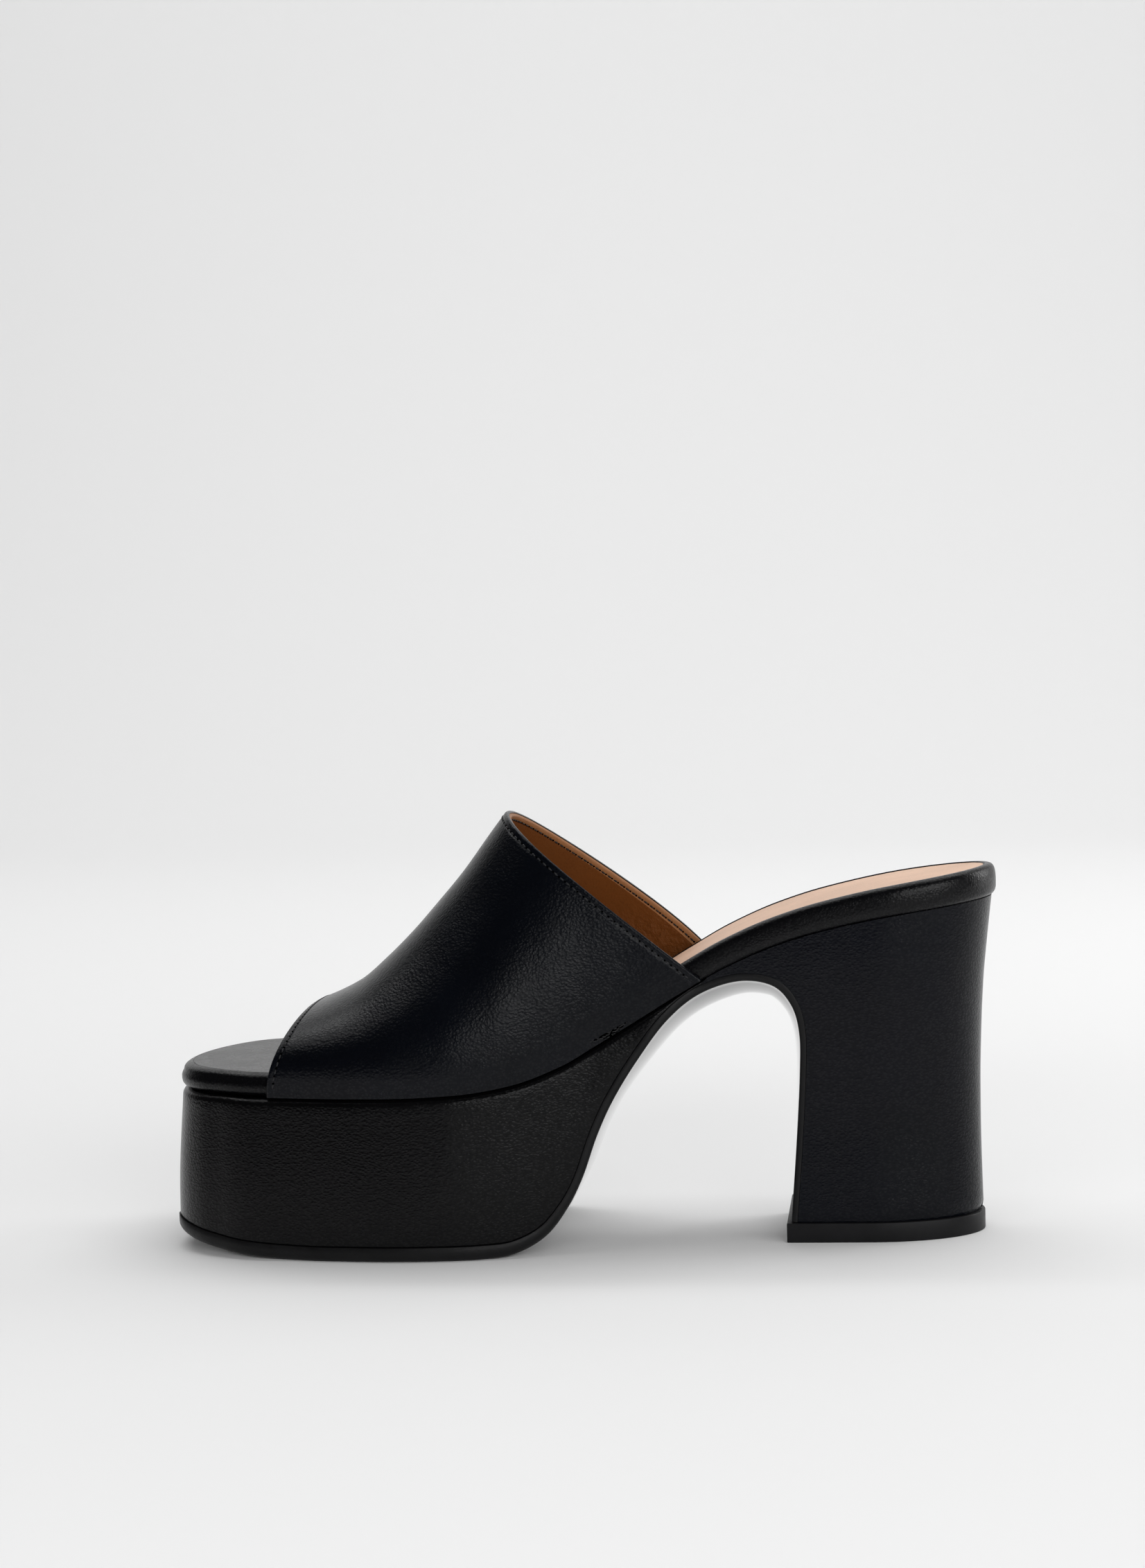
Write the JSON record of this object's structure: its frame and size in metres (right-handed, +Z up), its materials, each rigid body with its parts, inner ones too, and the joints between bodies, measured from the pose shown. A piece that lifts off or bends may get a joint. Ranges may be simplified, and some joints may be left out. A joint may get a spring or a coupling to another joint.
{
  "type": "heeled platform mule",
  "caption": "Open-toe platform mule with a flared block heel, one wide black leather band across the instep and a tan leather insole.",
  "frame": {"origin": "under the middle of the whole shoe, on the floor it stands on", "axes": "+X from the toe to the heel, along the shoe's length; +Y towards the lateral side; +Z up"},
  "size_m": [0.243, 0.0941, 0.126],
  "materials": {
    "sole_gloss": "glossy black sheet, scuffed matte along its edge",
    "platform_leather": "smooth black calf with a fine grain",
    "heel_leather": "smooth black calf with a fine grain",
    "toplift_rubber": "matte black",
    "footbed_leather": "smooth black calf, softly polished",
    "sock_leather": "matte tan",
    "upper_leather": "smooth black calf outside, brown lining inside"
  },
  "bodies": {
    "root": {"outsole": "sole_gloss", "platform": "platform_leather", "heel": "heel_leather", "toplift": "toplift_rubber", "footbed": "footbed_leather", "sock": "sock_leather", "upper": "upper_leather"}
  },
  "joints": []
}
